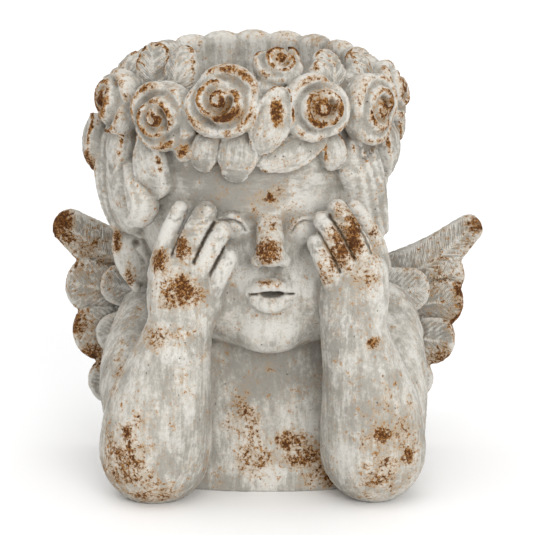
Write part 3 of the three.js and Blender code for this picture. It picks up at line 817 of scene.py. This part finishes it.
def carveStrands(piece):
    # Each point belongs to the feather, leaf or lock whose skin it lies on
    co = readPoints(piece)
    best = np.full(len(co), carving["closest"])
    lift = np.zeros(len(co))
    phase = np.zeros(len(co))
    strength = np.zeros(len(co))
    for element in grain:
        local = localTo(element, co)
        if local is None:
            continue
        index, run, t, h, past, rho, half = local
        score = np.abs(rho - 1)
        mine = (rho < carving["reach"]) & (score < best[index])
        keep = index[mine]
        best[keep] = score[mine]
        edge = np.abs(t[mine])
        out = np.sqrt(edge ** 2 + past[mine] ** 2)
        pitch = element["pitch"] * unit
        front = np.clip((h[mine] - 0.15) * 4, 0, 1)
        if element["kind"] == "lock":
            count = np.maximum(2, np.round(2 * half[mine] / pitch))
            wave = np.cos(math.pi * count * t[mine] + 0.6 * np.sin(run[mine] / (9 * unit)))
            flow = t[mine] * half[mine] / unit
            cut = element["depth"] * wave * np.clip(1.25 - out, 0, 1)
        else:
            cupped = element["kind"] == "cup"
            flow = (edge * half[mine] if cupped else run[mine] - edge * half[mine] * element["slant"]) / unit
            wave = np.cos(2 * math.pi * flow / element["pitch"])
            inside = np.clip((carving["barbsTo"] - out) / carving["rimWidth"], 0, 1)
            rim = np.exp(-((out - carving["rimAt"]) / carving["rimWidth"]) ** 2)
            hollow = np.clip(1 - (out / carving["hollowTo"]) ** 2, 0, 1) * carving["hollowDepth"]
            shaft = np.exp(-(edge * half[mine] / (carving["shaftWidth"] * unit)) ** 2)
            cut = element["depth"] * wave * inside * (1 - shaft)
            cut += element["rim"] * (rim * carving["rimRise"] - hollow)
            if not cupped:
                cut += element["rim"] * carving["shaftRise"] * shaft * np.clip(0.8 - past[mine], 0, 1)
        lift[keep] = cut * front
        phase[keep] = flow
        strength[keep] = element["fine"] * front * np.clip((1.1 - rho[mine]) * 4 + 1, 0, 1)
    normals = normalsOf(piece)
    co += normals * (lift * unit)[:, None]
    writePoints(piece, co)
    return phase, strength


def edgeList(piece):
    edges = np.empty(len(piece.data.edges) * 2, np.int32)
    piece.data.edges.foreach_get("vertices", edges)
    return edges.reshape(-1, 2)


def rubbed(values, edges, passes):
    # Averages values with their neighbours
    count = np.bincount(edges.ravel(), minlength=len(values)).astype(float)
    for _ in range(passes):
        total = np.zeros_like(values)
        for k in range(values.shape[1]):
            total[:, k] = np.bincount(edges[:, 0], values[edges[:, 1], k], len(values))
            total[:, k] += np.bincount(edges[:, 1], values[edges[:, 0], k], len(values))
        values = 0.5 * values + 0.5 * total / np.maximum(count, 1)[:, None]
    return values


def makeCasting():
    parts = [makeTrunk(), makeFace()]
    parts += makeEar(-1) + makeEar(1)
    parts += makeArm(-1) + makeArm(1)
    parts += makeWing(-1) + makeWing(1)
    print("figure built")
    parts += makeHair() + [turned(bowl["band"])] + makeWreath()
    voxel = figure["fineVoxel"]
    casting = moulded("cupidPlanter", parts, voxel, 0)
    print("pressed together", len(casting.data.vertices))
    for cutter in (turned(bowl["profile"]), ball(*face["slit"])):
        applyModifier(casting, "BOOLEAN", operation="DIFFERENCE", object=cutter, solver="MANIFOLD")
        bpy.data.objects.remove(cutter)
    casting = moulded("cupidPlanter", [casting] + makeRim(), voxel, 2)
    print("hollowed", len(casting.data.vertices))
    return casting


def deepCuts():
    # The lips, the nostrils and the gaps between the fingers
    holes = [([hole], 2.0, -4, (0, -0.5, -0.9)) for hole in face["nostrilHoles"]]
    return [(face["lips"], 0.75, -2.4, (0, -1, 0), 2)] + holes + fingerCracks()


def softCuts():
    # The ear's hollows, the folds of the wrists, the eyes and the nails
    return ears["hollows"] + arms["wrists"] + eyeMarks() + nailMarks()


surface = {"swells": (16, 1.1), "knocks": (6, 0.3)}   # size and height of each unevenness


def roughened(casting):
    # The hand-pressed, weathered unevenness of the cast
    for name, (size, depth) in surface.items():
        cloud = bpy.data.textures.new(name, "CLOUDS")
        cloud.noise_scale = size / 1000 * unit
        cloud.noise_depth = 2
        applyModifier(casting, "DISPLACE", texture=cloud, strength=depth * unit, mid_level=0.5)


def settled(casting):
    # Cut flat on the ground, and thinned where it is plain
    pick([casting])
    bpy.ops.object.mode_set(mode="EDIT")
    bpy.ops.mesh.select_all(action="SELECT")
    bpy.ops.mesh.bisect(plane_co=(0, 0, 0), plane_no=(0, 0, 1), use_fill=True, clear_inner=True)
    bpy.ops.object.mode_set(mode="OBJECT")
    triangles = sum(len(p.vertices) - 2 for p in casting.data.polygons)
    ratio = min(1, figure["triangles"] / triangles)
    applyModifier(casting, "DECIMATE", ratio=ratio, use_collapse_triangulate=True)
    casting.data.polygons.foreach_set("use_smooth", np.ones(len(casting.data.polygons), bool))
    print("thinned to", len(casting.data.polygons))


def fitToCad(casting):
    # Moved into the frame of the real planter, and trimmed to the room that its CAD model has
    casting.data.transform(Matrix.Translation(shift))
    co = readPoints(casting)
    low, high = (np.array(corner) for corner in cadBox)
    margin = 1e-5
    start = co.min(0)
    extent = co.max(0) - start
    scale = np.minimum(1, (high - low - 2 * margin) / extent)
    place = np.maximum(low + margin, np.minimum(start, high - margin - extent * scale))
    co = (co - start) * scale + place
    co[:, 2] = np.maximum(co[:, 2], 0)
    writePoints(casting, co)


# Wear and painted shading: what the sculptor's hand, the weather and the rusty stain leave, with painted
# light and shade, kept on the skin as attributes

wearAndShading = {
    "stains": [   # place, reach along x, y and z, strength
        ((0.5, -93, 148.5), (8, 9, 8), 1.0),
        ((0, -82, 166), (13, 10, 14), 0.42),
        ((1.4, -76, 175), (3, 7, 3.2), 1.0),
        ((2, -89, 129), (13, 8, 4.5), 0.76),
        ((2, -78, 173), (14, 10, 8), 0.4),
        ((-20.7, -76, 124.5), (2, 6, 1.6), 1.0),
        ((-61, -90, 141), (6, 12, 8), 0.85),
        ((-49, -96, 149), (6, 12, 9), 0.7),
        ((-50.5, -95, 125), (15, 14, 9), 0.92),
        ((-57, -95, 99), (16, 20, 8), 0.55),
        ((-90, -18, 141), (3.5, 10, 10), 0.75),
        ((-82, -18, 121), (4, 10, 8), 0.7),
        ((-76, -75, 97), (5, 20, 13), 0.6),
        ((-87, -70, 76), (6, 20, 16), 0.55),
        ((-80, -100, 32), (17, 25, 26), 0.5),
        ((-84, -95, 22), (12, 25, 14), 0.62),
        ((-66, -100, 10), (16, 25, 9), 0.55),
        ((-127, 40, 138), (9, 14, 16), 0.85),
        ((-119, 38, 74), (11, 14, 12), 0.72),
        ((-112, 34, 56), (14, 14, 10), 0.72),
        ((-112, 40, 120), (22, 14, 26), 0.4),
        ((-107, -8, 183), (7, 16, 9), 0.85),
        ((-14, -62, 42), (10, 14, 14), 0.55),
        ((-8, -62, 20), (12, 14, 11), 0.55),
        ((22, -62, 20), (13, 14, 10), 0.7),
        ((31, -62, 10), (11, 14, 9), 0.72),
        ((0, -60, 72), (2.4, 10, 4.5), 0.8),
        ((34, -92, 140), (6, 10, 12), 0.62),
        ((39, -94, 152), (8, 10, 13), 0.78),
        ((48, -90, 157), (7, 12, 14), 0.85),
        ((41, -84, 169), (5, 8, 5), 0.7),
        ((59, -82, 150), (4.5, 12, 15), 0.5),
        ((54, -94, 136), (11, 12, 9), 0.6),
        ((60.6, -95, 96.5), (5, 12, 4), 0.85),
        ((72, -104, 42), (17, 22, 26), 0.5),
        ((66, -104, 18), (18, 22, 14), 0.45),
        ((121, 36, 98), (8, 14, 12), 0.85),
        ((118, 36, 79), (9, 14, 12), 0.72),
        ((107, 34, 55), (10, 14, 12), 0.62),
        ((130, 40, 141), (8, 14, 10), 0.7),
        ((112, 36, 110), (24, 14, 30), 0.36),
        ((-21, -88, 250), (10, 20, 12), 0.3),
        ((5, -94, 227), (4, 10, 8), 0.95),
        ((-20, -96, 225), (13, 10, 5), 0.6),
        ((-62, -88, 205), (10, 12, 6), 0.6),
        ((-47.7, -82, 202), (4, 6, 4), 0.55),
        ((65, -106, 46), (7, 12, 5), 0.95),
        ((79, -100, 31), (5, 12, 6), 0.9),
        ((-85, -96, 34), (5, 14, 8), 0.9),
        ((-79, -98, 47), (4, 14, 6), 0.8),
        ((-12.5, -64, 47), (5, 10, 5), 0.8),
        ((15, -64, 30), (10, 10, 7), 0.95),
    ],
    # chalky whitewash patches and painted light that brightens the cheeks and the chin; below 0, painted
    # shade that darkens the forehead under the wreath, the chest under the chin and the forearms
    "chalkAndPaintedShading": [
        ((27, -72, 183), (14, 12, 8)),
        ((25, -74, 170), (12, 12, 6)),
        ((30, -72, 160), (14, 14, 8)),
        ((-62, -106, 64), (12, 20, 30), -0.3),
        ((-50, -98, 92), (12, 14, 10), 0.5),
        ((-2, -66, 8), (14, 10, 8)),
        ((60, -104, 66), (16, 20, 34), -0.6),
        ((2, -78, 104), (24, 12, 10), 0.8),
        ((-13, -74, 134), (10, 14, 12), 1.1),
        ((21, -74, 134), (11, 14, 14), 1.2),
        ((-22, -78, 180), (30, 16, 16), -1.1),
        ((0, -60, 66), (26, 14, 14), -0.6),
        ((-14, -64, 30), (12, 12, 20), 0.8),
        ((20, -64, 44), (8, 12, 10), 0.7),
    ],
    "shadeWidth": 0.72,
    "ridgePasses": 3,
    "hollowPasses": 26,
}


def spotted(co, spots):
    # How strongly each point lies in one of the named places
    total = np.zeros(len(co))
    for at, reach, *strength in spots:
        away = (co / unit - np.asarray(at)) / np.asarray(reach)
        near = np.clip(1.25 - (away ** 2).sum(1) ** 0.5, 0, 1)
        value = near ** 0.6 * (strength[0] if strength else 1)
        total = np.where(np.abs(value) > np.abs(total), value, total)
    return total


def relief(piece):
    # Ridges above 0 and hollows below, at two scales, in shares of a millimetre of bulge
    co, normals, edges = readPoints(piece), normalsOf(piece), edgeList(piece)
    fine = rubbed(co, edges, wearAndShading["ridgePasses"])
    broad = rubbed(fine, edges, wearAndShading["hollowPasses"])
    ridge = np.einsum("ij,ij->i", co - fine, normals) / unit
    hollow = np.einsum("ij,ij->i", fine - broad, normals) / unit
    return rubbed(np.column_stack([ridge, hollow]), edges, 1)


def carried(source, values, piece):
    # Brings values from the dense skin to the nearest points of the thinned one
    tree = KDTree(len(source))
    for i, point in enumerate(source):
        tree.insert(point, i)
    tree.balance()
    nearest = [tree.find(point)[1] for point in readPoints(piece)]
    return values[nearest]


def store(piece, name, values):
    layer = piece.data.attributes.new(name, "FLOAT", "POINT")
    layer.data.foreach_set("value", np.asarray(values, np.float32))


def darkLines(casting):
    # Where the cuts keep their shade
    co = readPoints(casting)
    dark = np.zeros(len(co))
    for cuts, share in ((deepCuts(), 1), (softCuts(), 0.4)):
        for points, width, depth, *way in cuts:
            index, close = alongLine(co, points, width * wearAndShading["shadeWidth"], *way[1:])
            dark[index] = np.maximum(dark[index], share * close)
    return dark


def keepWearAndShading(casting, dense, bumps, phase, strength, dark):
    values = carried(dense, np.column_stack([bumps, phase, strength, dark]), casting)
    co = readPoints(casting)
    for i, name in enumerate(("ridge", "hollow", "strandPhase", "strandDepth", "shade")):
        store(casting, name, values[:, i])
    store(casting, "stain", spotted(co, wearAndShading["stains"] + hearts))
    store(casting, "chalkAndPaintedShading", spotted(co, wearAndShading["chalkAndPaintedShading"]))


# Cement finish

cement = {
    "grey": (0.305, 0.287, 0.252, 1),
    "pale": (0.48, 0.457, 0.408, 1),
    "chalky": (0.625, 0.608, 0.565, 1),
    # the dark of the painted shade in grooves and hollows, and of the grime
    "hollow": (0.15, 0.125, 0.097, 1),
    "tan": (0.46, 0.31, 0.165, 1),
    "orange": (0.36, 0.18, 0.05, 1),
    "rust": (0.165, 0.06, 0.010, 1),
    "char": (0.055, 0.016, 0.002, 1),
    "pit": (0.10, 0.08, 0.06, 1),
    "shade": (0.03, 0.022, 0.016, 1),
    "roughness": 0.92,
}


class Mark:
    # A socket that can stand in a sum
    tree = None

    def __init__(self, socket):
        self.socket = socket

    @classmethod
    def node(cls, kind, settings=None, sockets=None, output=0):
        node = cls.tree.nodes.new("ShaderNode" + kind)
        for name, value in (settings or {}).items():
            setattr(node, name, value)
        for name, value in (sockets or {}).items():
            if isinstance(value, Mark):
                cls.tree.links.new(value.socket, node.inputs[name])
            else:
                node.inputs[name].default_value = value
        return cls(node.outputs[output])

    def sum(self, operation, other):
        return Mark.node("Math", {"operation": operation}, {0: self, 1: other})

    def __add__(self, other):
        return self.sum("ADD", other)

    def __sub__(self, other):
        return self.sum("SUBTRACT", other)

    def __rsub__(self, other):
        return (self * -1) + other

    def __mul__(self, other):
        return self.sum("MULTIPLY", other)

    def between(self, low, high):
        # 0 below low, 1 above high, and soft in between
        ends = {"Value": self, "From Min": low, "From Max": high}
        return Mark.node("MapRange", {"interpolation_type": "SMOOTHSTEP"}, ends)


def tinted(amount, one, other):
    return Mark.node("Mix", {"data_type": "RGBA"}, {0: amount, 6: one, 7: other}, output=2)


def attribute(name):
    return Mark.node("Attribute", {"attribute_name": name}, output=2)


def clouds(place, size, detail=3, roughness=0.55, stretch=None, moved=0):
    # Noise whose lumps are about `size` millimetres across
    if stretch or moved:
        mapping = {"Vector": place, "Scale": stretch or (1, 1, 1), "Location": (moved,) * 3}
        place = Mark.node("Mapping", {}, mapping)
    sockets = {"Vector": place, "Scale": 1000 / size, "Detail": detail, "Roughness": roughness}
    return Mark.node("TexNoise", {}, sockets)


def cementMaterial():
    material = bpy.data.materials.new("castCement")
    material.use_nodes = True
    Mark.tree = material.node_tree
    Mark.tree.nodes.clear()
    place = Mark.node("TexCoord", output=3)
    height = Mark.node("SeparateXYZ", {}, {"Vector": place}, output=2)
    ridge, hollow = attribute("ridge"), attribute("hollow")
    stain, chalkAndPaintedShading = attribute("stain"), attribute("chalkAndPaintedShading")

    broad = clouds(place, 48, 3, 0.55)
    patchy = clouds(place, 16, 4, 0.6, moved=3)
    fine = clouds(place, 2.6, 5, 0.75, moved=7)
    dust = clouds(place, 1.1, 2, 0.7, moved=1)
    down = clouds(place, 3.4, 5, 0.7, stretch=(1, 1, 0.12))
    across = clouds(place, 3.4, 5, 0.7, stretch=(0.14, 0.5, 1), moved=2)
    brow = height.between(0.150, 0.162) * (1 - height.between(0.195, 0.2))
    brushed = down * (1 - brow) + across * brow

    # The chalk spots lighten the mottle and the white with chalky patches and with painted light on the
    # cheeks and chin; where below 0 they darken it as painted shade on the forehead, under the chin and on
    # the forearms. The mottle also turns a little greyer in hollows, a painted shade.
    mottle = broad * 0.9 + patchy * 0.7 + fine * 0.6 + brushed * 0.8 + hollow * 0.12 + chalkAndPaintedShading * 0.2
    colour = tinted(mottle.between(1.25, 1.75), cement["grey"], cement["pale"])
    white = ridge * 2.6 + hollow * 0.1 + patchy * 1.0 + fine * 0.8
    white = white + chalkAndPaintedShading * 0.3 + brushed * 1.1 + broad * 0.4
    colour = tinted(white.between(1.58, 2.0) * 0.85, colour, cement["chalky"])
    # Painted shade: darker in narrow grooves and hollows, broken up by noise
    paintedCreaseShade = (hollow * -0.45 - ridge * 2.6 + patchy * 0.5 + fine * 0.4).between(0.6, 1.8)
    colour = tinted(paintedCreaseShade * 0.8, colour, cement["hollow"])
    grime = (fine * 0.6 + dust * 0.9 - ridge * 0.8).between(0.78, 1.05)
    colour = tinted(grime * 0.5, colour, cement["hollow"])

    wreathHigh = height.between(0.185, 0.205)
    edges = (ridge * 2.4 + hollow * 0.2).between(0.0, 0.9) * (wreathHigh * 0.62 + 0.12)
    speck = clouds(place, 2.2, 4, 0.75, moved=11)
    grains = clouds(place, 1.5, 3, 0.8, moved=13)
    blotch = clouds(place, 10, 3, 0.6, moved=5)
    amount = stain * 0.5 + edges * 0.75 + blotch * 0.7 + speck * 1.0 + grains * 0.3
    halo = amount.between(1.03, 1.32)
    rust = amount.between(1.22, 1.38)
    deep = (grains + (amount - 1.28) * 0.8 - wreathHigh * 0.06).between(0.40, 0.60)
    char = (grains + (amount - 1.28) * 0.7 - wreathHigh * 0.04).between(0.53, 0.68)
    stained = tinted(deep, cement["orange"], cement["rust"])
    stained = tinted(char, stained, cement["char"])
    colour = tinted(halo * 0.62, colour, cement["tan"])
    colour = tinted(rust * 0.97, colour, stained)

    freckled = (blotch * 0.9 + stain * 0.5 + edges * 0.5).between(0.40, 0.62)
    freckles = clouds(place, 2.3, 2, 0.5, moved=17).between(0.61, 0.66) * freckled
    colour = tinted(freckles * 0.9, colour, stained)
    cells = Mark.node("TexVoronoi", {}, {"Vector": place, "Scale": 1000 / 5.5, "Randomness": 1.0})
    pits = (1 - cells.between(0.05, 0.10)) * clouds(place, 17, 1, moved=9).between(0.45, 0.6)
    pits = pits * (1 - rust * 0.6)
    colour = tinted(pits * 0.75, colour, cement["pit"])

    colour = tinted(attribute("shade").between(0.2, 1.0) * 0.8, colour, cement["shade"])

    strands = Mark.node("Math", {"operation": "SINE"}, {0: attribute("strandPhase") * 3.9})
    combed = strands * attribute("strandDepth") * 0.14
    bumps = fine * 0.45 + dust * 0.3 + brushed * 0.35 + rust * 0.14 + combed - pits * 0.9
    normal = Mark.node("Bump", {}, {"Strength": 0.9, "Distance": 0.0012, "Height": bumps})
    rough = cement["roughness"] - rust * 0.08
    shader = Mark.node("BsdfPrincipled", {}, {
        "Base Color": colour,
        "Roughness": rough,
        "Normal": normal,
        "Specular IOR Level": 0.12,
    })
    output = Mark.tree.nodes.new("ShaderNodeOutputMaterial")
    Mark.tree.links.new(shader.socket, output.inputs["Surface"])
    return material


casting = makeCasting()
dark = darkLines(casting)
strokes(casting, deepCuts() + softCuts())
phase, strength = carveStrands(casting)
bumps = relief(casting)
roughened(casting)
dense = readPoints(casting)
print("carved")
settled(casting)
keepWearAndShading(casting, dense, bumps, phase, strength, dark)
fitToCad(casting)
casting.data.materials.clear()
casting.data.materials.append(cementMaterial())
print("finished")

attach(casting, "root")
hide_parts("cupid_planter")


# Studio: a white floor under soft light, and the camera a little above the figure's head

studio = {
    "elevation": 11.5,
    "distance": 1.4,
    "lens": 36 * 2334 / 535,
    "aim": 0.1199,
    "sky": 0.82,
    "suns": [   # direction it comes from, softness in degrees, strength
        ((0.4, -1.0, 0.36), 30, 1.4),
        ((-0.1, -0.2, 1.0), 60, 0.8),
    ],
}


def lit(name, strength):
    world = bpy.data.worlds.new(name)
    world.use_nodes = True
    world.node_tree.nodes["Background"].inputs["Color"].default_value = (1, 1, 1, 1)
    world.node_tree.nodes["Background"].inputs["Strength"].default_value = strength
    bpy.context.scene.world = world


deselect()
bpy.ops.mesh.primitive_plane_add(size=8, location=(0, 0, 0))
floor = bpy.context.object
floor.name = "studioFloor"
paper = bpy.data.materials.new("whitePaper")
paper.use_nodes = True
paper.node_tree.nodes["Principled BSDF"].inputs["Base Color"].default_value = (0.97, 0.97, 0.97, 1)
floor.data.materials.append(paper)

tilt = math.radians(studio["elevation"])
back = Vector((0, -math.cos(tilt), math.sin(tilt)))
bpy.ops.object.camera_add(location=Vector((shift.x, shift.y, studio["aim"])) + back * studio["distance"])
camera = bpy.context.object
camera.rotation_euler = (-back).to_track_quat("-Z", "Y").to_euler()
camera.data.lens = studio["lens"]
camera.data.sensor_width = 36
bpy.context.scene.camera = camera
bpy.context.scene.view_settings.view_transform = "Standard"

lit("studio", studio["sky"])
for way, softness, power in studio["suns"]:
    bpy.ops.object.light_add(type="SUN", location=way)
    sun = bpy.context.object
    sun.data.energy = power
    sun.data.angle = math.radians(softness)
    sun.rotation_euler = Vector(way).to_track_quat("Z", "Y").to_euler()
